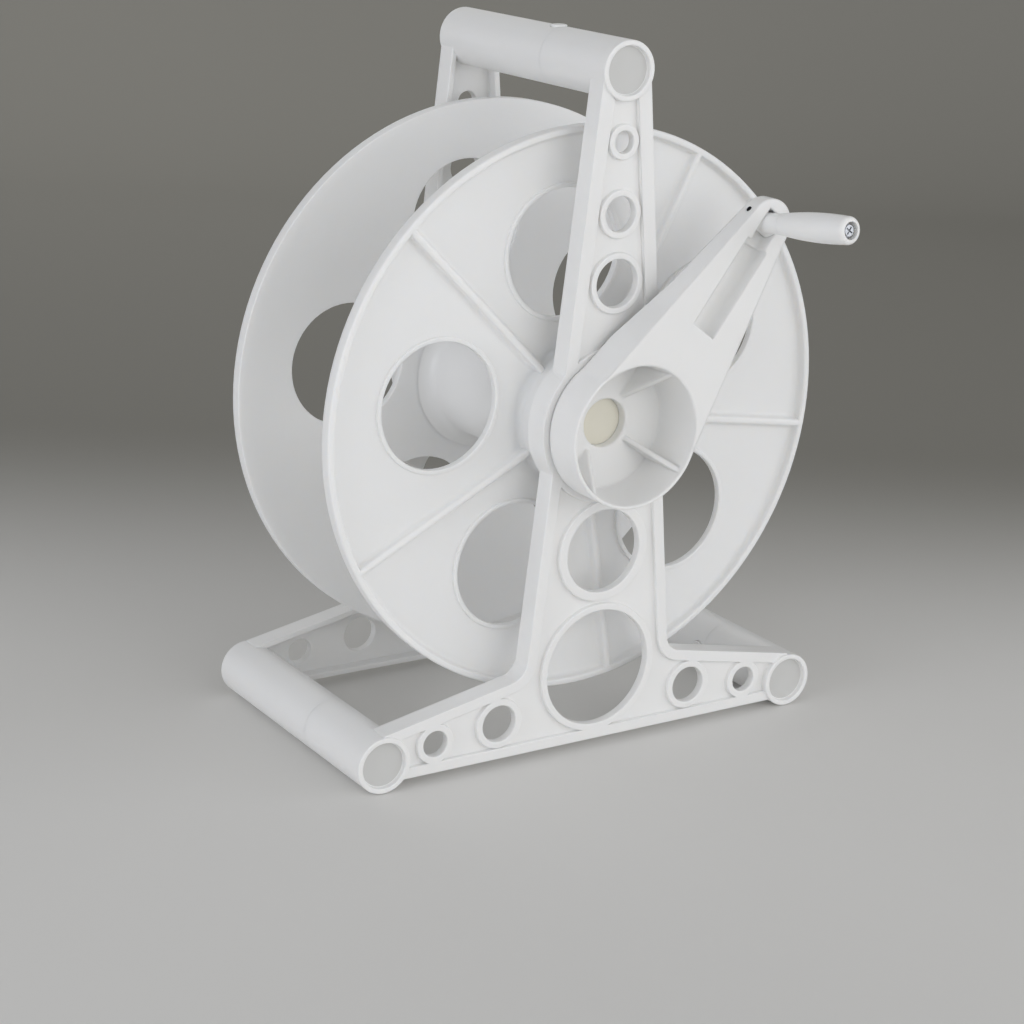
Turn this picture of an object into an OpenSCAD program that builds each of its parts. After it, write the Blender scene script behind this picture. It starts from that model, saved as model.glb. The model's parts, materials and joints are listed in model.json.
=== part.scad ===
// Hand-cranked hose and cable reel on a two-sided moulded stand.
// Millimetres, +Z up. The origin is on the floor, under the middle of the reel.
// X runs along the feet, Y runs along the reel's axis, and the crank is on the -Y side.

/* [Stand] */
// Height of the reel's axis above the floor
hub_height = 195; // [190:0.5:215]
// Height of the handle tube's axis above the floor
handle_height = 392.5; // [388:0.5:430]
// Distance between the axes of the two foot tubes
foot_spacing = 284; // [270:1:330]
// Length of the tubes over their ends
stand_depth = 172; // [168:1:186]
// Outside diameter of the handle tube and the foot tubes
tube_d = 33; // [31:0.5:38]
// Wall of the tubes
tube_wall = 3; // [2:0.25:4]
// Depth of the recess in the closed ends of the tubes
end_recess = 3; // [1:0.25:6]
// Thickness of the closed ends of the tubes
end_wall = 3; // [2:0.25:5]
// Distance of the tube joint in front of mid-depth
joint_offset = 22; // [15:1:30]
// Length of the spigot that plugs the two half tubes together
spigot_len = 26; // [22:1:32]
// Wall of the spigot
spigot_wall = 3; // [2:0.25:4]
// Radial clearance of the spigot in its socket
spigot_clearance = 0.15; // [0.1:0.05:0.3]
// Thickness of the shoulder that stops the spigot
stop_t = 4; // [3:0.25:6]
// Gap between the spigot's end and its stop
stop_gap = 0.5; // [0.3:0.1:1]
// Diameter of the snap stud on each spigot
stud_d = 9; // [7:0.5:11]
// Height of the snap stud above the tube
stud_rise = 0.7; // [0.5:0.1:2]
// Distance of the snap stud behind the tube joint
stud_back = 6; // [5.5:0.5:8]
// Clearance round the snap stud
stud_clearance = 0.3; // [0.2:0.05:0.5]

/* [Side frame] */
// Depth of the frame's walls
frame_t = 13; // [11:0.5:16]
// Height of the tube ends above the frame's outer face
tube_proud = 1.5; // [0.5:0.25:3]
// Width of the raised rim beside the handle
rim_top_w = 9.25; // [8:0.25:10.5]
// Width of the raised rim along the foot bar
rim_w = 6.5; // [5:0.25:7]
// Thickness of the walls behind the web
frame_wall = 3.5; // [2.5:0.25:4.5]
// Depth of the web below the outer face
recess = 2.5; // [1.5:0.25:6]
// Thickness of the web
web_t = 3; // [2:0.25:4]
// Width of the post at the handle
post_top_w = 30.5; // [28:0.5:32]
// Width of the post where it meets the foot bar
post_foot_w = 97.5; // [92:0.5:104]
// Height of the foot bar's lower edge above the floor
bar_gap = 5; // [3:0.5:7]
// Height of the foot bar at the middle of the stand
bar_root_h = 56.5; // [52:0.5:58]
// Height of the foot bar at the foot tubes
bar_end_h = 28.5; // [25:0.5:30]
// Radius of the blend between post and foot bar
blend_r = 12; // [8:0.5:18]
// Outside diameter of the bearing ring round the reel's hub
ring_d = 90; // [88:0.5:96]
// Depth of the bearing ring behind the outer face
ring_t = 16; // [13:0.5:17]

/* [Lightening holes] */
// Diameter of the top hole of the post
hole_a_d = 12.5; // [10:0.5:14]
// Height of the top hole above the hub
hole_a_rise = 159; // [155:0.5:160]
// Diameter of the second hole of the post
hole_b_d = 20; // [17:0.5:22]
// Height of the second hole above the hub
hole_b_rise = 119.5; // [115:0.5:123]
// Diameter of the third hole of the post
hole_c_d = 27.5; // [24:0.5:30]
// Height of the third hole above the hub
hole_c_rise = 81; // [78:0.5:85]
// Diameter of the hole below the hub
hole_d_d = 49.5; // [46:0.5:50]
// Depth of the hole below the hub
hole_d_drop = 74.5; // [73.5:0.5:76]
// Diameter of the large hole at the foot of the post
hole_e_d = 70; // [64:0.5:71]
// Depth of the large hole below the hub
hole_e_drop = 145.5; // [144:0.5:147]
// Diameter of the inner holes of the foot bar
hole_g_d = 22; // [18:0.5:23]
// Distance of the inner holes from the middle of the stand
hole_g_x = 66.5; // [63:0.5:72]
// Diameter of the outer holes of the foot bar
hole_f_d = 15.5; // [12:0.5:17]
// Distance of the outer holes from the middle of the stand
hole_f_x = 108.5; // [104:0.5:110]
// Wall of the raised collars round the small post holes
collar_wall = 3.5; // [2.5:0.25:4]
// Wall of the raised collars round the foot bar's holes and the large hole
bar_collar_wall = 4; // [3.5:0.25:5]
// Wall of the raised collar under the hub
hub_collar_wall = 5.5; // [5:0.25:6]

/* [Reel] */
// Diameter of the flanges
flange_d = 330; // [300:1:334]
// Clear width between the flanges
winding_w = 100; // [90:1:104]
// Thickness of a flange's plate
flange_t = 3; // [2:0.25:4]
// Height of the lip and the ribs above the plate
lip_h = 5; // [3:0.25:6]
// Width of the lip round the rim
lip_w = 4; // [3:0.25:6]
// Radius of the lip's rounded edges
lip_round = 1.2; // [0.5:0.1:1.4]
// Radius of the blend between lip and plate
lip_blend = 2.4; // [0.5:0.1:2.5]
// Radius of the blend between neck and plate
neck_blend = 4; // [1:0.25:6]
// Number of windows and of ribs in a flange
window_count = 5; // [4:1:5]
// Diameter of the windows
window_d = 73; // [60:0.5:76]
// Radius of the circle that the windows lie on
window_radius = 95.3; // [93:0.1:100]
// Width of the raised edge round a window
window_edge_w = 2.5; // [1.5:0.25:4]
// Height of the raised edge round a window
window_edge_h = 1.5; // [0.75:0.25:2.5]
// Thickness of the ribs
rib_t = 4.5; // [4:0.25:6]
// Radius of the ribs' rounded tops
rib_round = 1.8; // [0.5:0.1:1.9]
// Radius of the blends at the ribs' feet
rib_blend = 2.6; // [0.5:0.1:2.9]
// Angle of the first rib, from +X towards +Z
rib_angle = 63.5; // [0:0.5:72]
// Diameter of the core that the hose is wound on
core_d = 76; // [74:0.5:79]
// Wall of the core
core_wall = 3.5; // [2.5:0.25:4]
// Height of the ring that centres the core on a flange
locator_h = 4; // [3:0.5:8]
// Thickness of the ring that centres the core on a flange
locator_t = 2.9; // [2:0.1:3]
// Radial clearance of the core on its centring rings
core_clearance = 0.1; // [0.05:0.05:0.3]

/* [Hub] */
// Diameter of the hub where it runs in the stand's ring
journal_d = 80.8; // [80:0.1:82]
// Radial clearance of the hub in the stand's ring
running_clearance = 0.08; // [0.05:0.01:0.1]
// Wall of the hub inside the ring
journal_wall = 2.4; // [2:0.1:3]
// Length of the flange's neck between plate and hub cup
neck_len = 11; // [9:0.5:12]
// Length of the flange's spigot inside the hub cup
neck_spigot = 10; // [6:0.5:11]
// Wall of the flange's spigot
neck_wall = 3.4; // [2.5:0.1:4]
// Radial clearance of the flange's spigot in the hub cup
neck_clearance = 0.1; // [0.05:0.05:0.2]
// Axial gap between the stand's ring and the hub's shoulder
shoulder_gap = 2; // [0.5:0.25:3]
// Depth of the hub cup below the stand's outer face
cup_floor_depth = 5.5; // [4:0.25:7]
// Thickness of the hub cup's floor
cup_floor_t = 3; // [2:0.25:4]
// Diameter of the axle
axle_d = 28; // [24:0.5:30]
// Length of the axle
axle_len = 146; // [138:1:150]
// Wall of the hollow axle
axle_wall = 3; // [2:0.25:5]
// Thickness of the axle's closed end
axle_end_t = 3.5; // [2:0.25:6]
// Radial clearance of the axle in its seats
axle_clearance = 0.05; // [0.03:0.01:0.1]
// Wall of the sockets that hold the axle
socket_wall = 3.5; // [2.5:0.25:4]
// Gap between the sockets and the flanges
socket_gap = 3; // [1:0.5:5]
// Diameter of the rear hub's lip
rear_lip_d = 86; // [84:0.5:90]
// Thickness of the rear hub's lip
rear_lip_t = 3; // [2:0.25:4]
// Number of screws that hold a flange to its hub cup
screw_count = 4; // [3:1:6]
// Radius of the circle that the screws lie on
screw_radius = 26; // [25.5:0.25:26.5]
// Diameter of the screws
screw_d = 4; // [3.5:0.1:4.5]
// Length of the screws under the head
screw_len = 16; // [12:0.5:18]
// Diameter of the screw heads
screw_head_d = 7.4; // [7:0.1:8]
// Height of the screw heads
screw_head_h = 2.6; // [2:0.1:3]
// Diameter of the screw bosses in the hub cups
boss_d = 9; // [8.5:0.25:9.5]
// Radial clearance of the screws
screw_clearance = 0.05; // [0.03:0.01:0.2]

/* [Crank] */
// Angle of the crank arm, from +X towards +Z
crank_angle = 53.5; // [0:0.5:90]
// Height of the crank's front face above the stand's outer face
crank_rise = 26.5; // [24:0.5:30]
// Outside diameter of the hub cup
cup_d = 84; // [83:0.5:88]
// Inside diameter of the hub cup at its mouth
cup_mouth_d = 80; // [77:0.5:80.5]
// Radius from the reel's axis to the hinge of the knob
crank_radius = 140.5; // [136:0.5:150]
// Step between the cup's outside and the arm's sides at the hub
arm_step = 0.8; // [0.4:0.1:1.5]
// Radius of the arm's rounded tip
tip_r = 14.4; // [14:0.1:16]
// Thickness of the arm's front skin
skin_t = 3; // [2:0.25:4]
// Thickness of the arm's side walls
arm_wall = 3; // [2:0.25:3.25]
// Depth of the arm's side walls at the tip
tip_depth = 10.5; // [9.5:0.25:12]
// Depth of the arm's side walls at its waist
waist_depth = 15; // [13:0.5:18]
// Distance of the waist from the reel's axis
waist_at = 85; // [75:1:95]
// Thickness of the gussets in the hub cup
gusset_t = 3.2; // [1.5:0.1:4]
// Distance of the gussets' upper ends below the cup's rim
gusset_drop = 2; // [1:0.25:4]
// Width of the trough that the folded knob lies in
trough_w = 17.2; // [16.8:0.1:18]
// Wall of the trough
trough_wall = 2.4; // [1.6:0.1:2.6]
// Distance of the trough's inner end from the reel's axis
trough_start = 69.5; // [66:0.5:71]
// Width of the slot at the arm's tip that the knob's hinge turns in
slot_w = 12.6; // [12.4:0.1:14]
// Distance of the slot's inner end from the knob's hinge
slot_len = 14; // [13:0.25:14.5]
// Distance of the slot's outer end from the knob's hinge
slot_end = 7; // [7:0.25:7.5]
// Depth of the knob's hinge below the arm's front face
hinge_depth = 6; // [5.5:0.25:6.5]

/* [Knob] */
// Lean of the open knob away from the hub, in degrees
knob_lean = 7.5; // [0:0.5:8]
// Diameter of the hinge pin
pin_d = 3.2; // [2.6:0.1:3.6]
// Clearance of the hinge pin in the arm
pin_press = 0.02; // [0.01:0.01:0.03]
// Clearance of the hinge pin in the knob
pin_clearance = 0.06; // [0.04:0.01:0.1]
// Distance of the pin's ends below the arm's sides
pin_inset = 0.4; // [0.2:0.1:1]
// Diameter of the knob's hinge barrel
barrel_d = 12; // [10:0.25:12.5]
// Side clearance of the hinge barrel in its slot
barrel_clearance = 0.3; // [0.2:0.05:0.5]
// Diameter of the neck between barrel and grip
neck_d = 11.75; // [11:0.25:12]
// Diameter of the spindle inside the grip
spindle_d = 8; // [6.5:0.25:8.5]
// Radial clearance of the grip on its spindle
grip_clearance = 0.08; // [0.05:0.01:0.1]
// Distance from the hinge to the grip's base
grip_start = 16; // [15:0.5:18]
// Distance from the hinge to the grip's end
grip_end = 68.5; // [65:0.5:69]
// Diameter of the grip at its base
grip_base_d = 12.4; // [12:0.1:13.4]
// Diameter of the grip near its end
grip_end_d = 15.6; // [15:0.1:15.8]
// Swell of the grip at half length above its straight taper
grip_swell = 1.2; // [0:0.1:1.3]
// Radius of the grip's rounded end
grip_round = 2.5; // [1:0.25:2.5]
// Depth of the recess in the grip's end
grip_recess = 5; // [4.5:0.25:7]
// Diameter of the recess in the grip's end
grip_recess_d = 9.8; // [9.6:0.1:10]
// End play of the grip
grip_play = 0.3; // [0.2:0.05:0.5]
// Diameter of the washer that holds the grip
washer_d = 9.2; // [9:0.1:9.4]
// Thickness of the washer
washer_t = 0.8; // [0.5:0.1:1.2]
// Diameter of the grip's screw
knob_screw_d = 3; // [2.5:0.1:3.5]
// Length of the grip's screw under the head
knob_screw_len = 14; // [10:0.5:20]
// Diameter of the grip screw's head
knob_head_d = 6.2; // [5.5:0.1:7]
// Height of the grip screw's head
knob_head_h = 2.3; // [1.8:0.1:2.6]
// Width of the cross recess in the screw head
cross_w = 0.9; // [0.6:0.1:1.2]
// Depth of the cross recess in the screw head
cross_depth = 1.2; // [0.8:0.1:1.5]

/* [Hidden] */
$fn = 96;
white = "#F1F1EF";
ivory = "#E6DFC4";
steel = "#B9BCC0";
dark_steel = "#2C2C2E";

// Cuts run past the faces that they open by this much
over = 1;

// Stand: depths are measured from mid-depth outwards
tube_r = tube_d / 2;
bore_r = tube_r - tube_wall;
spigot_r = bore_r - spigot_clearance;
spigot_bore_r = spigot_r - spigot_wall;
stop = spigot_len - joint_offset + stop_gap;
tube_end = stand_depth / 2;
end_floor = tube_end - end_recess;
end_back = end_floor - end_wall;
face = tube_end - tube_proud;
frame_back = face - frame_t;
web_front = face - recess;
web_back = web_front - web_t;
foot_x = foot_spacing / 2;
bar_mid = bar_gap + bar_root_h;
bar_end = bar_gap + bar_end_h;
ring_bore_r = journal_d / 2 + running_clearance;

// Reel: depths from mid-depth outwards
plate_in = winding_w / 2;
plate_out = plate_in + flange_t;
lip_out = plate_out + lip_h;
neck_end = plate_out + neck_len;
shoulder = face + shoulder_gap;
cup_floor = face - cup_floor_depth;
cup_floor_back = cup_floor - cup_floor_t;
journal_r = journal_d / 2;
cup_bore_r = journal_r - journal_wall;
spigot_end = neck_end + neck_spigot;
neck_spigot_r = cup_bore_r - neck_clearance;
axle_r = axle_d / 2;
socket_bore_r = axle_r + axle_clearance;
socket_r = socket_bore_r + socket_wall;
socket_end = plate_out + socket_gap;
core_r = core_d / 2;
core_bore_r = core_r - core_wall;
locator_r = core_bore_r - core_clearance;
window_turn = rib_angle + 180 / window_count;
// The screws lie midway between the four gussets of the crank's cup
screw_turn = 45;
reel_turn = crank_angle + screw_turn;

// Crank: u runs along the arm, depths from mid-depth outwards
rim = face + crank_rise;
cup_r = cup_d / 2;
cup_mouth_r = cup_mouth_d / 2;
root_r = cup_r - arm_step;
hinge_y = rim - hinge_depth;
trough_r = trough_w / 2;
arm_sine = (root_r - tip_r) / crank_radius;
arm_slope = asin(arm_sine);
barrel_w = slot_w - 2 * barrel_clearance;
pin_half = (root_r - arm_sine * crank_radius) / cos(arm_slope) - pin_inset;

// Knob: lengths from the hinge along the grip
recess_floor = grip_end - grip_recess;
spindle_end = recess_floor + grip_play;
washer_end = spindle_end + washer_t;

// Straight edges of the side frame as unit normals, and where two offset edges meet
function unit(v) = v / norm(v);
function left_of(v) = [-v[1], v[0]];
post_a = [post_top_w / 2, handle_height];
post_b = [post_foot_w / 2, bar_mid];
bar_n = left_of(unit([foot_x, bar_end] - [0, bar_mid]));
function bar_at(inset) = bar_mid * bar_n[1] - inset;
function meet(n1, c1, n2, c2) =
    let (d = n1[0] * n2[1] - n1[1] * n2[0])
    [(c1 * n2[1] - c2 * n1[1]) / d, (n1[0] * c2 - n2[0] * c1) / d];
function arc(q, r, a0, a1, n) = [for (i = [0:n]) q + r * [cos(a0 + (a1 - a0) * i / n), sin(a0 + (a1 - a0) * i / n)]];
function mirrored(p) = [for (i = [len(p) - 1:-1:0]) [-p[i][0], p[i][1]]];

// One half of the frame's outline, moved inwards by one inset at the handle and another at the foot bar
function half_outline(top, inset) =
    let (a = post_a - [top, 0], n = left_of(unit(post_b - [inset, 0] - a)), r = blend_r + inset,
         q = meet(n, a * n + r, bar_n, bar_at(inset) + r))
    concat([a], arc(q, r, atan2(-n[1], -n[0]), atan2(-bar_n[1], -bar_n[0]), 12),
           [[foot_x, (bar_at(inset) - foot_x * bar_n[0]) / bar_n[1]], [foot_x, bar_gap + inset]]);
function bar_middle(x) = (bar_gap + (bar_at(0) - x * bar_n[0]) / bar_n[1]) / 2;

// Holes of one side frame: x, height, diameter, collar wall
frame_holes = concat(
    [[0, hub_height + hole_a_rise, hole_a_d, collar_wall],
     [0, hub_height + hole_b_rise, hole_b_d, collar_wall],
     [0, hub_height + hole_c_rise, hole_c_d, collar_wall],
     [0, hub_height - hole_d_drop, hole_d_d, hub_collar_wall],
     [0, hub_height - hole_e_drop, hole_e_d, bar_collar_wall]],
    [for (s = [-1, 1]) [s * hole_g_x, bar_middle(hole_g_x), hole_g_d, bar_collar_wall]],
    [for (s = [-1, 1]) [s * hole_f_x, bar_middle(hole_f_x), hole_f_d, bar_collar_wall]]);
// Axes of the three tubes and the side of each that carries the snap stud
tube_axes = [[0, handle_height], [-foot_x, tube_r], [foot_x, tube_r]];
stud_turns = [0, 90, -90];

// Round bar along Y between two depths
module rod(y0, y1, r) {
    translate([0, y1, 0]) rotate([90, 0, 0]) cylinder(h = y1 - y0, r = r);
}
// Flat outline in X and Z, given depth along Y
module slab(y0, y1) {
    translate([0, y1, 0]) rotate([90, 0, 0]) linear_extrude(height = y1 - y0) children();
}
// Turn about the reel's axis, from +X towards +Z
module spin(angle) {
    rotate([0, -angle, 0]) children();
}
module at_hub() {
    translate([0, 0, hub_height]) children();
}
module at_screws(turn) {
    for (i = [0:screw_count - 1]) spin(turn + i * 360 / screw_count) translate([screw_radius, 0, 0]) children();
}
module outline(top, inset) {
    h = half_outline(top, inset);
    polygon(concat(h, mirrored(h)));
}
module at_tubes() {
    for (p = tube_axes) translate([p[0], 0, p[1]]) children();
}

// Side frame on the -Y side: rim, recessed web, walls behind it, collars and bearing ring
module side_plate() {
    difference() {
        slab(-face, -frame_back) outline(0, 0);
        slab(-face - over, -web_front) outline(rim_top_w, rim_w);
        slab(-web_back, -frame_back + over) outline(frame_wall, frame_wall);
    }
    for (h = frame_holes) translate([h[0], 0, h[1]]) rod(-face, -web_back, h[2] / 2 + h[3]);
    at_hub() rod(-face, -face + ring_t, ring_d / 2);
}
module side_holes() {
    for (h = frame_holes) translate([h[0], 0, h[1]]) rod(-face - over, -frame_back + over, h[2] / 2);
    at_hub() rod(-face - over, -face + ring_t + over, ring_bore_r);
}
module studs(y, r, z0, z1) {
    for (i = [0:2])
        translate([tube_axes[i][0], y, tube_axes[i][1]])
            rotate([0, stud_turns[i], 0]) translate([0, 0, z0]) cylinder(h = z1 - z0, r = r);
}

// Front side frame with its half tubes, their spigots and snap studs
module front_frame() {
    color(white) difference() {
        union() {
            side_plate();
            at_tubes() rod(-tube_end, -joint_offset, tube_r);
            at_tubes() rod(-joint_offset - over, spigot_len - joint_offset, spigot_r);
            studs(stud_back - joint_offset, stud_d / 2, spigot_bore_r + over, tube_r + stud_rise);
        }
        side_holes();
        at_tubes() rod(-tube_end - over, -end_floor, bore_r);
        at_tubes() rod(-end_back, -joint_offset - spigot_wall, bore_r);
        at_tubes() rod(-end_back, spigot_len - joint_offset + over, spigot_bore_r);
    }
}

// Rear side frame with the half tubes that take the spigots
module rear_frame() {
    color(white) difference() {
        union() {
            mirror([0, 1, 0]) side_plate();
            at_tubes() rod(-joint_offset, tube_end, tube_r);
        }
        mirror([0, 1, 0]) side_holes();
        at_tubes() rod(-joint_offset - over, stop, bore_r);
        at_tubes() rod(-joint_offset - over, end_back, spigot_bore_r);
        at_tubes() rod(stop + stop_t, end_back, bore_r);
        at_tubes() rod(end_floor, tube_end + over, bore_r);
        studs(stud_back - joint_offset, stud_d / 2 + stud_clearance, 0, tube_r + stud_rise);
    }
}

// Profiles of the flange's raised forms: radius or width, then height above the plate
plate_mid = -flange_t / 2;
flange_r = flange_d / 2;
lip_in_r = flange_r - lip_w;
lip_profile = concat(
    [[flange_r, plate_mid]],
    arc([flange_r - lip_round, lip_h - lip_round], lip_round, 0, 90, 4),
    arc([lip_in_r + lip_round, lip_h - lip_round], lip_round, 90, 180, 4),
    arc([lip_in_r - lip_blend, lip_blend], lip_blend, 0, -90, 4),
    [[lip_in_r - lip_blend, plate_mid]]);
neck_profile = concat(
    [[cup_bore_r, plate_mid], [journal_r + neck_blend, plate_mid]],
    arc([journal_r + neck_blend, neck_blend], neck_blend, 270, 180, 5),
    [[cup_bore_r, neck_blend]]);
rib_half = concat(
    [[rib_t / 2 + rib_blend, plate_mid]],
    arc([rib_t / 2 + rib_blend, rib_blend], rib_blend, 270, 180, 4),
    arc([rib_t / 2 - rib_round, lip_h - rib_round], rib_round, 0, 90, 4));
module on_plate() {
    translate([0, -plate_out, 0]) rotate([90, 0, 0]) children();
}

// Flange on the -Y side: plate, lip, ribs, edged windows, neck and core locator
module flange() {
    at_hub() difference() {
        union() {
            rod(-plate_out, -plate_in, flange_r);
            on_plate() rotate_extrude() polygon(lip_profile);
            on_plate() rotate_extrude() polygon(neck_profile);
            for (i = [0:window_count - 1]) spin(rib_angle + i * 360 / window_count)
                on_plate() translate([cup_bore_r, 0, 0]) rotate([90, 0, 90])
                    linear_extrude(height = flange_r - lip_w / 2 - cup_bore_r)
                        polygon(concat(rib_half, mirrored(rib_half)));
            for (i = [0:window_count - 1]) spin(window_turn + i * 360 / window_count)
                translate([window_radius, 0, 0])
                    rod(-plate_out - window_edge_h, -plate_in, window_d / 2 + window_edge_w);
            rod(-neck_end, -plate_in, journal_r);
            rod(-spigot_end, -plate_in, neck_spigot_r);
            rod(-plate_in - flange_t / 2, -plate_in + locator_h, locator_r);
        }
        for (i = [0:window_count - 1]) spin(window_turn + i * 360 / window_count)
            translate([window_radius, 0, 0]) rod(-lip_out - over, -plate_in + over, window_d / 2);
        rod(-spigot_end - over, -plate_out, neck_spigot_r - neck_wall);
        rod(-plate_in, -plate_in + locator_h + over, locator_r - locator_t);
        rod(-spigot_end - over, -plate_in + over, socket_bore_r);
        at_screws(reel_turn) rod(-plate_out - over, -plate_in + over, screw_d / 2 + screw_clearance);
    }
}
module front_flange() {
    color(white) flange();
}
module rear_flange() {
    color(white) mirror([0, 1, 0]) flange();
}

// Core tube, held between the flanges on their centring rings
module drum_core() {
    color(white) at_hub() difference() {
        rod(-plate_in, plate_in, core_r);
        rod(-plate_in - over, plate_in + over, core_bore_r);
    }
}

// Hollow axle with a closed front end
module axle() {
    color(ivory) at_hub() difference() {
        rod(-axle_len / 2, axle_len / 2, axle_r);
        rod(-axle_len / 2 + axle_end_t, axle_len / 2 + over, axle_r - axle_wall);
    }
}

// Journal with its floor, axle socket and screw bosses, on the -Y side
module hub_solid(turn) {
    difference() {
        rod(-shoulder, -neck_end, journal_r);
        rod(-cup_floor_back, -neck_end + over, cup_bore_r);
    }
    rod(-cup_floor, -socket_end, socket_r);
    at_screws(turn) rod(-cup_floor, -plate_out, boss_d / 2);
}
module hub_cuts(turn) {
    rod(-cup_floor - over, -socket_end + over, socket_bore_r);
    at_screws(turn) rod(-plate_in - screw_len - over, -plate_out + over, screw_d / 2 + screw_clearance);
}

// Half of the arm's outline, moved inwards by the inset, from the hub to the rounded tip
function arm_half(inset) = concat(
    [[0, (root_r - inset) / cos(arm_slope)]],
    [for (p = arc([crank_radius, 0], tip_r - inset, 90 - arm_slope, 0, 10)) p]);
module arm_outline(inset) {
    h = arm_half(inset);
    polygon(concat(h, [for (i = [len(h) - 2:-1:0]) [h[i][0], -h[i][1]]]));
}
// Space behind the arm: the side walls get shallower from hub to waist to tip
module arm_back() {
    far = crank_radius + tip_r + over;
    translate([0, 0, -cup_d]) linear_extrude(height = 2 * cup_d)
        polygon([[0, -shoulder], [cup_r, -shoulder], [waist_at, -rim + waist_depth],
                 [crank_radius, -rim + tip_depth], [far, -rim + tip_depth], [far, 0], [0, 0]]);
}
// Channel along the arm: straight sides and a round bottom at hinge depth
module channel(u0, u1, r) {
    translate([u0, -hinge_y, 0]) rotate([0, 90, 0]) cylinder(h = u1 - u0, r = r);
    translate([u0, -rim - over, -r]) cube([u1 - u0, hinge_depth + over, 2 * r]);
}
// Trough for the folded grip, then a narrower slot with a seat for the knob's barrel
module trough_shape(grow) {
    r = slot_w / 2 + grow;
    channel(trough_start - grow, crank_radius - slot_len + grow, trough_r + grow);
    channel(crank_radius - slot_len - over, crank_radius + slot_end + grow / 2, r);
    translate([crank_radius, -hinge_y, -r]) cylinder(h = 2 * r, r = barrel_d / 2 + barrel_clearance + grow);
}
// Crank in its own directions: +X along the arm
module crank_body() {
    difference() {
        union() {
            hub_solid(screw_turn);
            rod(-rim, -shoulder, cup_r);
            difference() {
                slab(-rim, -shoulder) arm_outline(0);
                difference() {
                    slab(-rim + skin_t, -shoulder + over) arm_outline(arm_wall);
                    translate([crank_radius - barrel_d, -rim, -cup_r]) cube([cup_d, rim, cup_d]);
                }
                arm_back();
            }
            intersection() {
                trough_shape(trough_wall);
                translate([0, -rim + skin_t / 2, -cup_r]) cube([crank_radius + tip_r, rim, cup_d]);
            }
        }
        rotate([90, 0, 0]) rotate_extrude() polygon(
            [[0, cup_floor], [cup_bore_r, cup_floor], [cup_mouth_r, rim], [cup_mouth_r, rim + over], [0, rim + over]]);
        hub_cuts(screw_turn);
        trough_shape(0);
        translate([crank_radius, -hinge_y, -cup_r]) cylinder(h = cup_d, r = pin_d / 2 + pin_press);
    }
    for (i = [0:3]) spin(i * 90) translate([0, 0, -gusset_t / 2]) linear_extrude(height = gusset_t)
        polygon([[socket_r, -cup_floor + cup_floor_t / 2], [socket_r, -cup_floor],
                 [(cup_mouth_r + cup_r) / 2, -rim + gusset_drop],
                 [cup_bore_r + journal_wall / 2, -cup_floor + cup_floor_t / 2]]);
}
module crank() {
    color(white) at_hub() spin(crank_angle) crank_body();
}

// Cup that carries the reel in the rear frame, with a lip outside the bearing ring
module rear_hub() {
    color(white) at_hub() mirror([0, 1, 0]) difference() {
        union() {
            hub_solid(reel_turn);
            rod(-shoulder - rear_lip_t, -shoulder, rear_lip_d / 2);
        }
        rod(-shoulder - rear_lip_t - over, -cup_floor, cup_bore_r);
        hub_cuts(reel_turn);
    }
}

// Screws that pull each flange onto its hub cup, driven from inside the core
module hub_screws() {
    at_hub() at_screws(reel_turn) {
        rod(-plate_in - screw_len, -plate_in, screw_d / 2);
        rod(-plate_in, -plate_in + screw_head_h, screw_head_d / 2);
    }
}
module front_hub_screws() {
    color(steel) hub_screws();
}
module rear_hub_screws() {
    color(steel) mirror([0, 1, 0]) hub_screws();
}

// Directions of the hinge: the pin lies across the arm
module at_hinge() {
    at_hub() spin(crank_angle) translate([crank_radius, -hinge_y, 0]) children();
}
module hinge_pin() {
    color(dark_steel) at_hinge() translate([0, 0, -pin_half]) cylinder(h = 2 * pin_half, r = pin_d / 2);
}

// The open knob points along -Y and leans away from the hub
module at_knob() {
    at_hinge() rotate([0, 0, knob_lean]) children();
}
module knob_spindle() {
    color(white) at_knob() difference() {
        union() {
            translate([0, 0, -barrel_w / 2]) cylinder(h = barrel_w, r = barrel_d / 2);
            rod(-grip_start + grip_play, 0, neck_d / 2);
            rod(-spindle_end, 0, spindle_d / 2);
        }
        translate([0, 0, -barrel_w]) cylinder(h = 2 * barrel_w, r = pin_d / 2 + pin_clearance);
        rod(-spindle_end - over, -washer_end + knob_screw_len + over, knob_screw_d / 2 + screw_clearance);
    }
}
module knob_washer() {
    color(steel) at_knob() difference() {
        rod(-washer_end, -spindle_end, washer_d / 2);
        rod(-washer_end - over, -spindle_end + over, knob_screw_d / 2 + screw_clearance);
    }
}
module knob_screw() {
    top = washer_end + knob_head_h;
    color(steel) at_knob() difference() {
        union() {
            rod(-washer_end, -washer_end + knob_screw_len, knob_screw_d / 2);
            rod(-top, -washer_end, knob_head_d / 2);
        }
        for (a = [0, 90]) rotate([0, a, 0])
            translate([-knob_head_d / 4 - cross_w, -top - over, -cross_w / 2])
                cube([knob_head_d / 2 + 2 * cross_w, cross_depth + over, cross_w]);
    }
}
// Grip: a tapered, swelling sleeve with a rounded end that turns on the spindle
grip_sides = [for (i = [0:8]) let (t = i / 8)
    [grip_base_d / 2 * (1 - t) + grip_end_d / 2 * t + 4 * grip_swell * t * (1 - t),
     grip_start + (grip_end - grip_round - grip_start) * t]];
module knob_grip() {
    color(white) at_knob() rotate([90, 0, 0]) difference() {
        rotate_extrude() polygon(concat(
            [[0, grip_start]], grip_sides,
            [for (i = [1:6]) [grip_end_d / 2 - grip_round * (1 - cos(i * 15)), grip_end - grip_round * (1 - sin(i * 15))]],
            [[0, grip_end]]));
        translate([0, 0, grip_start - over]) cylinder(h = grip_end, r = spindle_d / 2 + grip_clearance);
        translate([0, 0, recess_floor]) cylinder(h = grip_recess + over, r = grip_recess_d / 2);
    }
}

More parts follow.
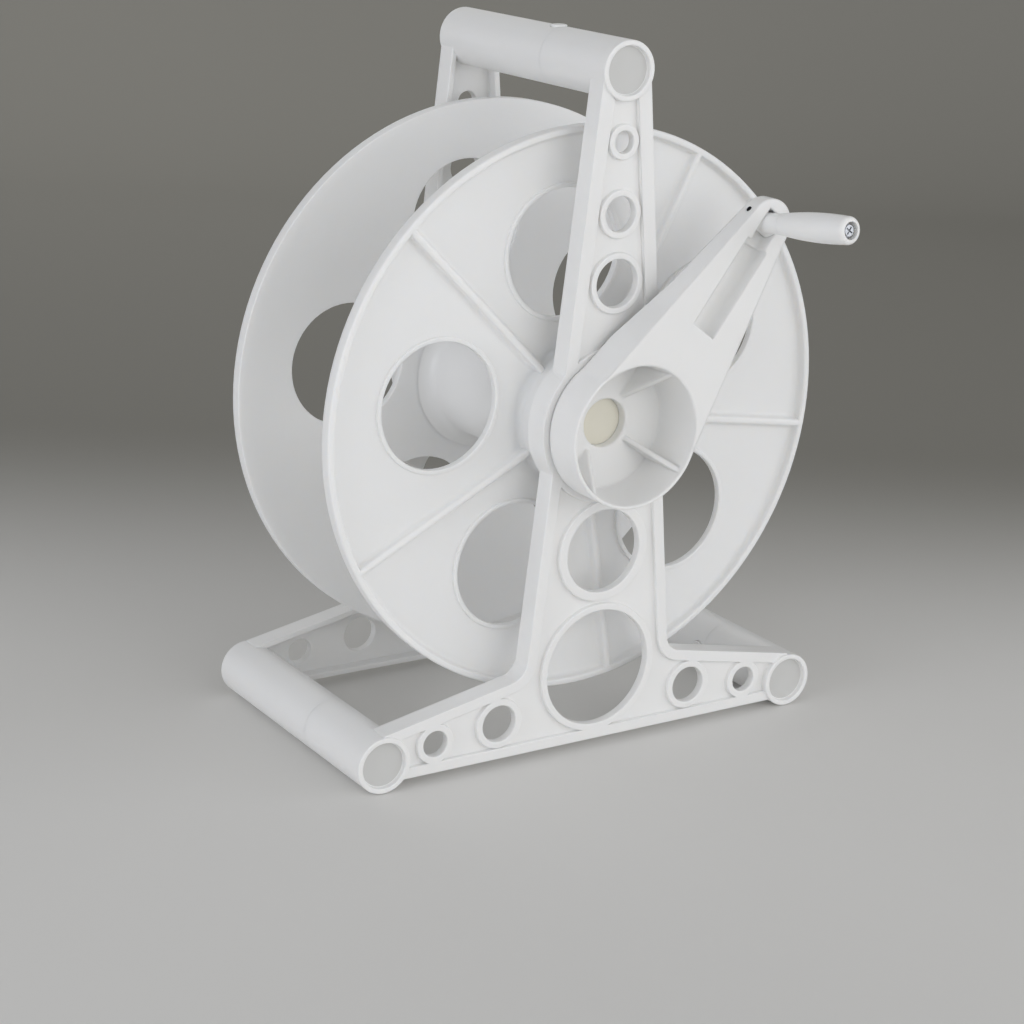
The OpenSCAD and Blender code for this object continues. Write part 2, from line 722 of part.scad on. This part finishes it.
front_frame();
rear_frame();
front_flange();
rear_flange();
drum_core();
axle();
crank();
rear_hub();
front_hub_screws();
rear_hub_screws();
hinge_pin();
knob_spindle();
knob_washer();
knob_screw();
knob_grip();
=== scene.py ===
# %% [markdown]
# # A hand-cranked hose reel
# The reel is a family of white mouldings: two side frames that carry tubes, two ribbed flanges on a
# core, and a crank with a folding knob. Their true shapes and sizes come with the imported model, so
# this lesson loads it first and then gives each piece its edges, its plastic and its light.

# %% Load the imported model
import bpy
import json
import math
from itertools import combinations
from mathutils import Matrix, Vector
from mathutils.bvhtree import BVHTree
from mathutils.kdtree import KDTree

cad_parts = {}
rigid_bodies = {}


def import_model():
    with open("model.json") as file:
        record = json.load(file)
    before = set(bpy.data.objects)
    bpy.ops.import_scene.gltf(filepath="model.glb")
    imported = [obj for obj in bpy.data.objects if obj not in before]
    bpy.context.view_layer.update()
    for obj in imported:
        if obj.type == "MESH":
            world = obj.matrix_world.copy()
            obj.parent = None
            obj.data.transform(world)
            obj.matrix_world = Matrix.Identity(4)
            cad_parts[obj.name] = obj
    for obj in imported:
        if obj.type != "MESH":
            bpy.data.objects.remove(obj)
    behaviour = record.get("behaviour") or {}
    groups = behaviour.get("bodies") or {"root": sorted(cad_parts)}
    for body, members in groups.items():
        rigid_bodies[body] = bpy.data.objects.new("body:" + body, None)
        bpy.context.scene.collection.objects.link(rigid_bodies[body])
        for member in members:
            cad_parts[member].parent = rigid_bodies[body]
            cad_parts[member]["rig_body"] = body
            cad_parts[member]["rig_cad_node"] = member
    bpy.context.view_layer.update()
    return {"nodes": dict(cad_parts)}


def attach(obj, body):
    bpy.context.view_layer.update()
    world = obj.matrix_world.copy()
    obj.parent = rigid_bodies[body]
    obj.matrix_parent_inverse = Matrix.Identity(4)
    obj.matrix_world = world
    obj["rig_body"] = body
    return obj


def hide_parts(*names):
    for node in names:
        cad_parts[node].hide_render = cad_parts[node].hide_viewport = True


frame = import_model()
nodes = frame["nodes"]

# %% [markdown]
# ## Colours
# A colour picked on a screen is in sRGB, and the shader works in linear light. One function turns
# the hex value of the first into the numbers of the second, so colours stay readable in the script.

# %% Turn a hex colour to linear light
WHITE = "#F4F4F3"
WHITE_CLOUD = "#F0F0EF"


def linear(hex_colour):
    channels = []
    for start in (1, 3, 5):
        value = int(hex_colour[start:start + 2], 16) / 255
        if value <= 0.04045:
            channels.append(value / 12.92)
        else:
            channels.append(((value + 0.055) / 1.055) ** 2.4)
    return (*channels, 1.0)


print("white plastic in linear light:", [round(channel, 3) for channel in linear(WHITE)])

# %% [markdown]
# ## One helper for nodes
# A material is a small graph, and so is the world's light. Adding a node, setting its values and
# linking it is always the same work, so one function does it: settings are the node's own options,
# values are its input numbers, and links are the sockets that feed its inputs.

# %% Start a material and add nodes to it
MM = 0.001


def add(owner, kind, settings=None, values=None, links=None):
    node = owner.node_tree.nodes.new(kind)
    for name, value in (settings or {}).items():
        setattr(node, name, value)
    for name, value in (values or {}).items():
        node.inputs[name].default_value = value
    for name, socket in (links or {}).items():
        owner.node_tree.links.new(socket, node.inputs[name])
    return node


def join(owner, socket, shader, name):
    owner.node_tree.links.new(socket, shader.inputs[name])


def start_material(name, **values):
    material = bpy.data.materials.new(name)
    material.use_nodes = True
    shader = material.node_tree.nodes["Principled BSDF"]
    for key, value in values.items():
        shader.inputs[key.replace("_", " ")].default_value = value
    place = add(material, "ShaderNodeTexCoord").outputs["Object"]
    return material, shader, place


def per_metre(size_mm):
    return 1 / (size_mm * MM)


print("a pattern of 2 mm has a scale of", round(per_metre(2)))

# %% [markdown]
# ## Moulded polypropylene
# Polypropylene comes out of a polished mould with a semi-gloss skin: soft, slightly blurred
# reflections, faint clouds where the melt flowed and cooled, and a very fine ripple. Light enters
# it a few millimetres, red a little deeper than blue, so shadows inside the white pieces are soft. The
# ripple of the real skin is finer than a pixel of this picture, so it is drawn at a size that still
# shows in the gloss. A Bevel node lets the light run softly over the small inner corners that are too
# tight to round in the mesh. The crank has the widest rounds, in its trough and round its gussets, so
# its plastic gets more.
#
# The flanges are thin and wide, so light reaches deeper into them and some comes out on the other
# side. The thin walls that close the tubes look greyer because light passes through them into the
# hollow behind, and that shade is painted into their colour as a greyer white. The core closes off a
# space that no light reaches, where light that sank into it would only be lost, so its plastic is drawn
# opaque.

# %% White polypropylene
LIGHT_REACH = (1.0, 0.93, 0.85)
SEMI_GLOSS = {"From Min": 0.3, "From Max": 0.7, "To Min": 0.30, "To Max": 0.40}
RIPPLE = {"Strength": 0.05, "Distance": 0.2 * MM}


def moulded_polypropylene(name, base, cloud, flow_mm=70, ripple_mm=2.0, corner_mm=0.7,
                          share=0.3, depth_mm=2.0):
    material, shader, place = start_material(name, IOR=1.49, Subsurface_Weight=share,
                                             Subsurface_Radius=LIGHT_REACH, Subsurface_Scale=depth_mm * MM)
    flow = add(material, "ShaderNodeTexNoise",
               values={"Scale": per_metre(flow_mm), "Detail": 4.0, "Distortion": 0.6},
               links={"Vector": place})
    tint = add(material, "ShaderNodeMix", {"data_type": "RGBA"}, links={"Factor": flow.outputs["Fac"]})
    tint.inputs["A"].default_value = linear(cloud)
    tint.inputs["B"].default_value = linear(base)
    join(material, tint.outputs["Result"], shader, "Base Color")
    gloss = add(material, "ShaderNodeMapRange", values=SEMI_GLOSS, links={"Value": flow.outputs["Fac"]})
    join(material, gloss.outputs["Result"], shader, "Roughness")
    ripple = add(material, "ShaderNodeTexNoise",
                 values={"Scale": per_metre(ripple_mm), "Detail": 2.0}, links={"Vector": place})
    corner = add(material, "ShaderNodeBevel", {"samples": 8}, {"Radius": corner_mm * MM})
    bump = add(material, "ShaderNodeBump", values=RIPPLE,
               links={"Height": ripple.outputs["Fac"], "Normal": corner.outputs["Normal"]})
    join(material, bump.outputs["Normal"], shader, "Normal")
    print("made", material.name)
    return material


white_plastic = moulded_polypropylene("moulded_polypropylene", WHITE, WHITE_CLOUD)
soft_plastic = moulded_polypropylene("soft_edged_polypropylene", WHITE, WHITE_CLOUD, corner_mm=2.2)
thin_plastic = moulded_polypropylene("thin_polypropylene", WHITE, WHITE_CLOUD, share=0.7, depth_mm=6.0)
# painted shade: a greyer white for the walls that close the tubes, standing in for the shade of the hollow
# behind them
end_wall_painted_shade_plastic = moulded_polypropylene("tube_end_painted_shade_polypropylene", "#D4D4D2", "#D0D0CE")
core_plastic = moulded_polypropylene("core_polypropylene", WHITE, WHITE_CLOUD, share=0.0)

# %% [markdown]
# ## The other materials
# The end of the axle at the bottom of the crank's cup is a warmer, off-white plastic: natural
# polyamide, which is moulded as the white one is. The screws and the washer are zinc-plated steel,
# with a dull bright skin, and the hinge pin is blackened steel, which is dark and only half shiny.

# %% Polyamide, zinc and blackened steel
natural_polyamide = moulded_polypropylene("natural_polyamide", "#ECE9DC", "#E6E2D3",
                                          flow_mm=18, ripple_mm=1.6, corner_mm=1.0)
natural_polyamide.node_tree.nodes["Principled BSDF"].inputs["IOR"].default_value = 1.53


def plated_steel(name, dark, bright, smooth, rough, grit_mm=0.8):
    material, shader, place = start_material(name, Metallic=1.0)
    grit = add(material, "ShaderNodeTexNoise",
               values={"Scale": per_metre(grit_mm), "Detail": 5.0}, links={"Vector": place})
    gloss = add(material, "ShaderNodeMapRange", values={"To Min": smooth, "To Max": rough},
                links={"Value": grit.outputs["Fac"]})
    join(material, gloss.outputs["Result"], shader, "Roughness")
    shade = add(material, "ShaderNodeMix", {"data_type": "RGBA"}, links={"Factor": grit.outputs["Fac"]})
    shade.inputs["A"].default_value = linear(dark)
    shade.inputs["B"].default_value = linear(bright)
    join(material, shade.outputs["Result"], shader, "Base Color")
    print("made", material.name)
    return material


zinc_steel = plated_steel("zinc_plated_steel", "#B4B7BB", "#C6C8CB", smooth=0.25, rough=0.45)
black_steel = plated_steel("blackened_steel", "#1B1B1D", "#2A2A2C", smooth=0.35, rough=0.55)

# %% [markdown]
# ## Copies to soften
# No moulded edge is perfectly sharp: the mould's corners leave a small round that catches a thin
# line of light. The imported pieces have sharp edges, so each moulding gets a copy to round. Its
# triangles are merged back to whole faces, and faces with a hole or a notch are split into plain
# ones, because a round can tear a face that has a hole. Its sharp edges stay selected.

# %% Copy a moulding and select its sharp edges
SAME_POINT = 0.002 * MM
SAME_PLANE = math.radians(0.2)
SHARP = math.radians(32)


def copy_moulding(node):
    bpy.ops.object.select_all(action="DESELECT")
    copy = nodes[node].copy()
    copy.data = nodes[node].data.copy()
    copy.name = node + "_moulding"
    copy.parent = None
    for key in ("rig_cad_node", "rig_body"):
        if key in copy:
            del copy[key]
    bpy.context.scene.collection.objects.link(copy)
    copy.select_set(True)
    bpy.context.view_layer.objects.active = copy
    bpy.ops.object.mode_set(mode="EDIT")
    bpy.ops.mesh.select_all(action="SELECT")
    bpy.ops.mesh.remove_doubles(threshold=SAME_POINT)
    bpy.ops.mesh.customdata_custom_splitnormals_clear()
    bpy.ops.mesh.dissolve_limited(angle_limit=SAME_PLANE)
    bpy.ops.mesh.select_all(action="SELECT")
    bpy.ops.mesh.vert_connect_concave()
    bpy.ops.mesh.select_mode(type="EDGE")
    bpy.ops.mesh.select_all(action="DESELECT")
    bpy.ops.mesh.edges_select_sharp(sharpness=SHARP)
    bpy.ops.object.mode_set(mode="OBJECT")
    return copy


print("an edge is sharp from", round(math.degrees(SHARP)), "degrees")

# %% [markdown]
# ## Edges with room for a round
# A weight marks each edge that a Bevel modifier rounds. The two halves of a tube meet flush, so the
# edges at that joint get no weight. Nor do edges at a corner where two of them leave in almost the
# same direction, because a round has no room there and would run into a spike.
#
# The modifier's own clamp is off, because it would shrink every round of a piece to what its smallest
# edge can take. Each round is tried instead: where it turns a small face over, or strays from the
# packed surface, the corners nearby lose their weight, and the next try is made without them.

# %% Find the edges to round and the corners without room
JOINT_Y = -22 * MM
ON_JOINT = 0.01 * MM
NARROW = math.radians(15)
TURNED = -0.3
SPECK = 0.002 * MM ** 2


def edges_to_round(mesh):
    edges = {}
    for edge in mesh.edges:
        at_joint = all(abs(mesh.vertices[v].co.y - JOINT_Y) < ON_JOINT for v in edge.vertices)
        if edge.select and not at_joint:
            edges[edge.index] = tuple(edge.vertices)
    return edges


def narrow_corners(mesh, edges):
    ways = {}
    for first, last in edges.values():
        along = (mesh.vertices[last].co - mesh.vertices[first].co).normalized()
        ways.setdefault(first, []).append(along)
        ways.setdefault(last, []).append(-along)
    return {corner for corner, leaving in ways.items()
            if any(one.angle(other) < NARROW for one, other in combinations(leaving, 2))}


def packed_surface(node):
    mesh = nodes[node].data
    mesh.calc_loop_triangles()
    corners = [vertex.co.copy() for vertex in mesh.vertices]
    return BVHTree.FromPolygons(corners, [tuple(face.vertices) for face in mesh.loop_triangles])


def spoiled_places(copy, surface, reach):
    tried = copy.evaluated_get(bpy.context.evaluated_depsgraph_get())
    mesh = tried.to_mesh()
    mesh.calc_loop_triangles()
    places = []
    for face in mesh.loop_triangles:
        corners = [mesh.vertices[v].co.copy() for v in face.vertices]
        middle = (corners[0] + corners[1] + corners[2]) / 3
        _, outward, _, away = surface.find_nearest(middle)
        turned = face.normal.dot(outward) < TURNED
        if face.area > SPECK and (turned or away > reach):
            places.extend(corners)
    tried.to_mesh_clear()
    return places


print("edges closer than", round(math.degrees(NARROW)), "degrees at a corner stay as they are")

# %% Weigh the edges of a copy
WEIGHT = "bevel_weight_edge"
TRIES = 8


def corner_finder(mesh, edges):
    corners = sorted({corner for pair in edges.values() for corner in pair})
    finder = KDTree(len(corners))
    for corner in corners:
        finder.insert(mesh.vertices[corner].co, corner)
    finder.balance()
    return finder


def weigh_edges(copy, node, width):
    mesh = copy.data
    mesh.attributes.new(WEIGHT, "FLOAT", "EDGE")
    edges = edges_to_round(mesh)
    finder = corner_finder(mesh, edges)
    surface = packed_surface(node)
    crowded = narrow_corners(mesh, edges)
    for _ in range(TRIES):
        for index, pair in edges.items():
            mesh.attributes[WEIGHT].data[index].value = float(crowded.isdisjoint(pair))
        mesh.update()
        copy.update_tag()
        spoiled = spoiled_places(copy, surface, width)
        found = {corner for place in spoiled for _, corner, _ in finder.find_range(place, 2 * width)}
        if found <= crowded:
            break
        crowded |= found
    kept = sum(crowded.isdisjoint(pair) for pair in edges.values())
    print(copy.name, "rounds", kept, "of", len(edges), "edges")


print("each round gets up to", TRIES, "tries")

# %% [markdown]
# ## Softened mouldings
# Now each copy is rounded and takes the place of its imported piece. A rounded edge shares its corners
# with the wide face beside it. Weighted normals let the wide face decide the shading there, so that
# flat faces look flat and only the round itself turns.

# %% Round and finish the mouldings
ROUND_SEGMENTS = 3
SMOOTH = math.radians(38)


def soften(node, body, width_mm, material):
    copy = copy_moulding(node)
    bevel = copy.modifiers.new("edge round", "BEVEL")
    bevel.limit_method = "WEIGHT"
    bevel.width = width_mm * MM
    bevel.segments = ROUND_SEGMENTS
    bevel.use_clamp_overlap = False
    bevel.loop_slide = False
    bevel.miter_outer = "MITER_ARC"
    weigh_edges(copy, node, bevel.width)
    bpy.ops.object.modifier_apply(modifier="edge round")
    bpy.ops.object.shade_smooth_by_angle(angle=SMOOTH)
    normals = copy.modifiers.new("flat faces stay flat", "WEIGHTED_NORMAL")
    normals.keep_sharp = True
    normals.weight = 100
    bpy.ops.object.modifier_apply(modifier="flat faces stay flat")
    copy.data.materials.clear()
    copy.data.materials.append(material)
    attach(copy, body)
    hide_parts(node)
    print(copy.name, "has", len(copy.data.polygons), "faces")
    return copy


front_frame = soften("front_frame", "stand", 0.6, white_plastic)
rear_frame = soften("rear_frame", "stand", 0.6, white_plastic)
soften("front_flange", "reel", 0.5, thin_plastic)
soften("rear_flange", "reel", 0.5, thin_plastic)
soften("crank", "reel", 0.8, soft_plastic)
soften("rear_hub", "reel", 0.6, white_plastic)
soften("knob_spindle", "knob", 0.3, white_plastic)
soften("knob_grip", "grip", 0.35, white_plastic)

# %% [markdown]
# ## Tube ends
# Each tube is closed by a thin wall at the bottom of a shallow recess. These walls are the only flat
# faces at their depth, so the depth picks them out, and they get the greyer plastic with its painted
# shade.

# %% Paint shade on the walls that close the tubes
END_WALL_Y = 83 * MM
AT_DEPTH = 0.2 * MM
FACES_OUT = 0.99


def paint_shade_on_end_walls(moulding):
    moulding.data.materials.append(end_wall_painted_shade_plastic)
    shade_painted_faces = 0
    for face in moulding.data.polygons:
        at_depth = abs(abs(face.center.y) - END_WALL_Y) < AT_DEPTH
        if at_depth and abs(face.normal.y) > FACES_OUT:
            # these faces take the greyer white of painted shade
            face.material_index = 1
            shade_painted_faces += 1
    print(moulding.name, "has", shade_painted_faces, "faces on its end walls")


paint_shade_on_end_walls(front_frame)
paint_shade_on_end_walls(rear_frame)

# %% [markdown]
# ## Flared core
# The core meets the flanges in a wide round, so that nothing wound on it can catch in a corner. Each
# flare is a closed ring: a circle on the core is extruded and widened along a quarter round until it
# lies on the flange, and is then led back inside the walls to where it started. The ring is sunk a
# little into both, so that its own edges lie hidden and only the round shows.

# %% Work out the rings of a flare
FLARE = 10 * MM
FLARE_STEPS = 12
SUNK = 0.12 * MM
HIDDEN = 0.6 * MM
core_corners = [Vector(corner) for corner in nodes["drum_core"].bound_box]
core_radius = max(corner.x for corner in core_corners) - SUNK
core_end = max(corner.y for corner in core_corners) + SUNK
core_height = sum(corner.z for corner in core_corners) / len(core_corners)

flare_rings = []
for step in range(FLARE_STEPS + 1):
    angle = math.pi / 2 * step / FLARE_STEPS
    ring_radius = core_radius + FLARE * (1 - math.cos(angle))
    ring_along = core_end - FLARE * (1 - math.sin(angle))
    flare_rings.append((ring_radius, ring_along))
flare_rings.append((core_radius + FLARE, core_end + HIDDEN))
flare_rings.append((core_radius - HIDDEN, core_end + HIDDEN))
flare_rings.append((core_radius - HIDDEN, core_end - FLARE))
flare_rings.append(flare_rings[0])
print("a flare has", len(flare_rings) - 1, "rings")

# %% Flare the ends of the core
CIRCLE_POINTS = 128
CLOSE_RING = 0.01 * MM


def core_flare(name, side):
    radius, along = flare_rings[0]
    bpy.ops.object.select_all(action="DESELECT")
    bpy.ops.mesh.primitive_circle_add(vertices=CIRCLE_POINTS, radius=radius,
                                      location=(0, side * along, core_height),
                                      rotation=(math.pi / 2, 0, 0))
    bpy.ops.object.transform_apply(location=True, rotation=True, scale=True)
    flare = bpy.context.object
    flare.name = name
    bpy.ops.object.mode_set(mode="EDIT")
    bpy.ops.mesh.select_all(action="SELECT")
    for next_radius, next_along in flare_rings[1:]:
        move = (0, side * (next_along - along), 0)
        widen = next_radius / radius
        centre = (0, side * next_along, core_height)
        bpy.ops.mesh.extrude_region_move(TRANSFORM_OT_translate={"value": move})
        bpy.ops.transform.resize(value=(widen, 1, widen), center_override=centre)
        radius, along = next_radius, next_along
    bpy.ops.mesh.select_all(action="SELECT")
    bpy.ops.mesh.remove_doubles(threshold=CLOSE_RING)
    bpy.ops.mesh.normals_make_consistent(inside=False)
    bpy.ops.object.mode_set(mode="OBJECT")
    bpy.ops.object.shade_smooth_by_angle(angle=SMOOTH)
    flare.data.materials.append(core_plastic)
    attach(flare, "reel")
    print(name, "has", len(flare.data.polygons), "faces")


core_flare("front_core_flare", -1)
core_flare("rear_core_flare", 1)

# %% [markdown]
# ## Plain pieces
# The core, the axle, the pin and the fasteners are turned or drawn shapes that show as they are, so
# they only get their material.

# %% Finish the plain pieces
plain_pieces = {
    "drum_core": core_plastic,
    "axle": natural_polyamide,
    "front_hub_screws": zinc_steel,
    "rear_hub_screws": zinc_steel,
    "hinge_pin": black_steel,
    "knob_washer": zinc_steel,
    "knob_screw": zinc_steel,
}
for node, material in plain_pieces.items():
    mesh = nodes[node].data
    mesh.materials.clear()
    mesh.materials.append(material)
print("finished", len(plain_pieces), "plain pieces")

# %% [markdown]
# ## Floor and backdrop
# A photographer stands a white object on a sweep: one sheet that runs flat under it and curves up
# well behind it, so there is no hard line behind the object. Its colour runs from pale where the
# object stands to a warm grey further back and higher up, which lets the white edges show. It is
# built square and then turned to face the camera.

# %% Sweep
AZIMUTH = math.radians(33.15)
SWEEP_WIDTH = 14
SWEEP_LENGTH = 9
SWEEP_SHIFT = -2.2
SWEEP_DROP = 0.0004
WALL_HEIGHT = 5
WALL_CURVE = 0.6
NEAR_BACK_EDGE = 2.2
bpy.ops.object.select_all(action="DESELECT")
bpy.ops.mesh.primitive_plane_add(size=1.0, location=(0, 0, 0))
sweep = bpy.context.object
sweep.name = "floor_sweep"
bpy.ops.object.mode_set(mode="EDIT")
bpy.ops.transform.resize(value=(SWEEP_WIDTH, SWEEP_LENGTH, 1))
bpy.ops.transform.translate(value=(0, SWEEP_SHIFT, -SWEEP_DROP))
bpy.ops.mesh.select_all(action="DESELECT")
bpy.ops.object.mode_set(mode="OBJECT")
for edge in sweep.data.edges:
    edge.select = all(sweep.data.vertices[v].co.y > NEAR_BACK_EDGE for v in edge.vertices)
bpy.ops.object.mode_set(mode="EDIT")
bpy.ops.mesh.select_mode(type="EDGE")
bpy.ops.mesh.extrude_region_move(TRANSFORM_OT_translate={"value": (0, 0, WALL_HEIGHT)})
bpy.ops.object.mode_set(mode="OBJECT")
fold = sweep.modifiers.new("curve", "BEVEL")
fold.limit_method = "ANGLE"
fold.width = WALL_CURVE
fold.segments = 24
bpy.ops.object.modifier_apply(modifier="curve")
bpy.ops.object.shade_smooth()
sweep.rotation_euler = (0, 0, -AZIMUTH)
bpy.ops.object.transform_apply(location=False, rotation=True, scale=False)
print("sweep made of", len(sweep.data.polygons), "faces")

# %% Backdrop paper
AWAY_FROM_CAMERA = (math.sin(AZIMUTH), math.cos(AZIMUTH), 0.35)
paper, paper_shader, paper_place = start_material("backdrop_paper", Roughness=0.8)
paper_depth = add(paper, "ShaderNodeVectorMath", {"operation": "DOT_PRODUCT"}, links={0: paper_place})
paper_depth.inputs[1].default_value = AWAY_FROM_CAMERA
paper_fade = add(paper, "ShaderNodeMapRange", {"interpolation_type": "SMOOTHSTEP"},
                 {"From Min": 0.0, "From Max": 0.6}, {"Value": paper_depth.outputs["Value"]})
paper_tone = add(paper, "ShaderNodeMix", {"data_type": "RGBA"},
                 links={"Factor": paper_fade.outputs["Result"]})
paper_tone.inputs["A"].default_value = linear("#E6E5E2")
paper_tone.inputs["B"].default_value = linear("#88867F")
join(paper, paper_tone.outputs["Result"], paper_shader, "Base Color")
sweep.data.materials.append(paper)
print("made", paper.name)

# %% [markdown]
# ## Light
# The object stood in very even light: its front faces and its left sides are about equally bright,
# the left ones a touch cooler, and the faces that look up are a little darker. So the light came
# from low, wide sources: a large softbox in front, a cooler one on each side, the left one close to
# the floor, a weak one behind, and a plain bright room whose walls are brighter than its ceiling.
# Lamps this large make only soft shadows.

# %% Softboxes
LOOK_AT = Vector((0, 0, 0.2))


def softbox(name, place, width, watts, colour):
    lamp = bpy.data.lights.new(name, "AREA")
    lamp.shape = "SQUARE"
    lamp.size = width
    lamp.energy = watts
    lamp.color = linear(colour)[:3]
    holder = bpy.data.objects.new(name, lamp)
    holder.location = place
    holder.rotation_euler = (LOOK_AT - Vector(place)).to_track_quat("-Z", "Y").to_euler()
    bpy.context.scene.collection.objects.link(holder)
    print(name, "gives", watts, "W")


softbox("key softbox", (0.3, -2.3, 0.95), width=1.8, watts=9.5, colour="#FFFDFA")
softbox("right softbox", (1.9, -1.5, 0.8), width=1.5, watts=7.5, colour="#F5F7FF")
softbox("left softbox", (-1.8, -0.35, 0.45), width=0.8, watts=5.5, colour="#F2F5FF")
softbox("back softbox", (0.7, 1.9, 1.0), width=1.6, watts=5, colour="#FFFFFF")

# %% Room
LEVEL_LIGHT = 1.06
CEILING_LIGHT = 0.3
room = bpy.data.worlds.new("studio")
bpy.context.scene.world = room
room.use_nodes = True
walls = room.node_tree.nodes["Background"]
walls.inputs["Color"].default_value = linear("#F8F9FB")
direction = add(room, "ShaderNodeTexCoord").outputs["Generated"]
height = add(room, "ShaderNodeSeparateXYZ", links={"Vector": direction}).outputs["Z"]
level = add(room, "ShaderNodeMapRange", values={"To Min": LEVEL_LIGHT, "To Max": CEILING_LIGHT},
            links={"Value": height})
join(room, level.outputs["Result"], walls, "Strength")
bpy.context.scene.view_settings.view_transform = "Standard"
print("the room's light falls from", LEVEL_LIGHT, "at the horizon to", CEILING_LIGHT, "overhead")

# %% [markdown]
# ## Camera
# The view was worked out from the ellipses of the two flanges: the camera stands to the left of the
# crank's side, a little above the reel, with a long lens and a slight tilt of the picture.

# %% Camera
AIM = Vector((-0.0177, -0.0142, 0.1263))
DISTANCE = 1.4018
ELEVATION = math.radians(17.48)
TILT = math.radians(2.23)
LENS_MM = 83.53
SENSOR_MM = 36
FAR_CLIP = 50
lens = bpy.data.cameras.new("camera")
lens.sensor_width = SENSOR_MM
lens.sensor_fit = "HORIZONTAL"
lens.lens = LENS_MM
lens.clip_end = FAR_CLIP
camera = bpy.data.objects.new("camera", lens)
turn = Matrix.Rotation(-AZIMUTH, 4, "Z") @ Matrix.Rotation(math.pi / 2 - ELEVATION, 4, "X")
turn = turn @ Matrix.Rotation(TILT, 4, "Z")
back = turn.to_3x3() @ Vector((0, 0, DISTANCE))
camera.matrix_world = Matrix.Translation(AIM + back) @ turn
bpy.context.scene.collection.objects.link(camera)
bpy.context.scene.camera = camera
print("camera at", [round(v, 4) for v in camera.location])
